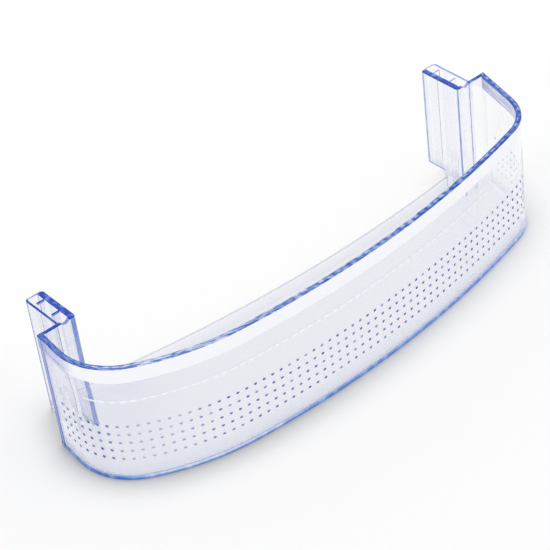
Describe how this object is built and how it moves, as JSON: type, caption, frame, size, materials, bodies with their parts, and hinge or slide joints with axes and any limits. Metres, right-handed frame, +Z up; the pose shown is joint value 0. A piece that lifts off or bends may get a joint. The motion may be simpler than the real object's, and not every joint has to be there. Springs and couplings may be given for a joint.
{
  "type": "fridge door shelf",
  "caption": "Clear one-piece fridge door shelf: bowed tray with a thick rim, a dotted front wall, a low rear lip and upright bracket channels that hang on the door liner.",
  "frame": {"origin": "middle of the bounding box at the underside", "axes": "+X along the door, to the right seen from the front; +Y towards the door; +Z up"},
  "size_m": [0.4826, 0.1592, 0.1146],
  "materials": {
    "clear_plastic": "clear, faint blue tint, polished"
  },
  "bodies": {
    "root": {"door_shelf": "clear_plastic"}
  },
  "joints": []
}
